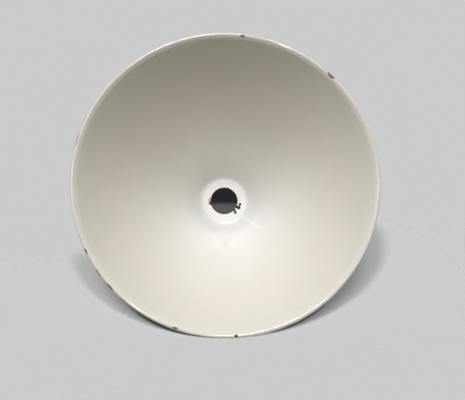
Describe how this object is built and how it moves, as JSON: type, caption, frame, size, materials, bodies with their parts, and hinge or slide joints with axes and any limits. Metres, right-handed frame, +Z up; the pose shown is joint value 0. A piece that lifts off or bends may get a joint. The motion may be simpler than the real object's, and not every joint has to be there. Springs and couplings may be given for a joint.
{
  "type": "coolie lampshade",
  "caption": "Enamelled steel coolie lampshade: a wide open cone with a flat seat and lampholder hole at the top and a rolled rim.",
  "frame": {"origin": "on the axis, in the plane that the rolled rim rests on", "axes": "+Z up the axis from the open mouth to the seat, so the shade stands on its rim as it hangs, mouth down"},
  "size_m": [0.254, 0.254, 0.127],
  "materials": {
    "enamel": "glossy off-white vitreous enamel over steel, with rusted flakes at the rim and at the hole"
  },
  "bodies": {
    "root": {"shade": "enamel"}
  },
  "joints": []
}
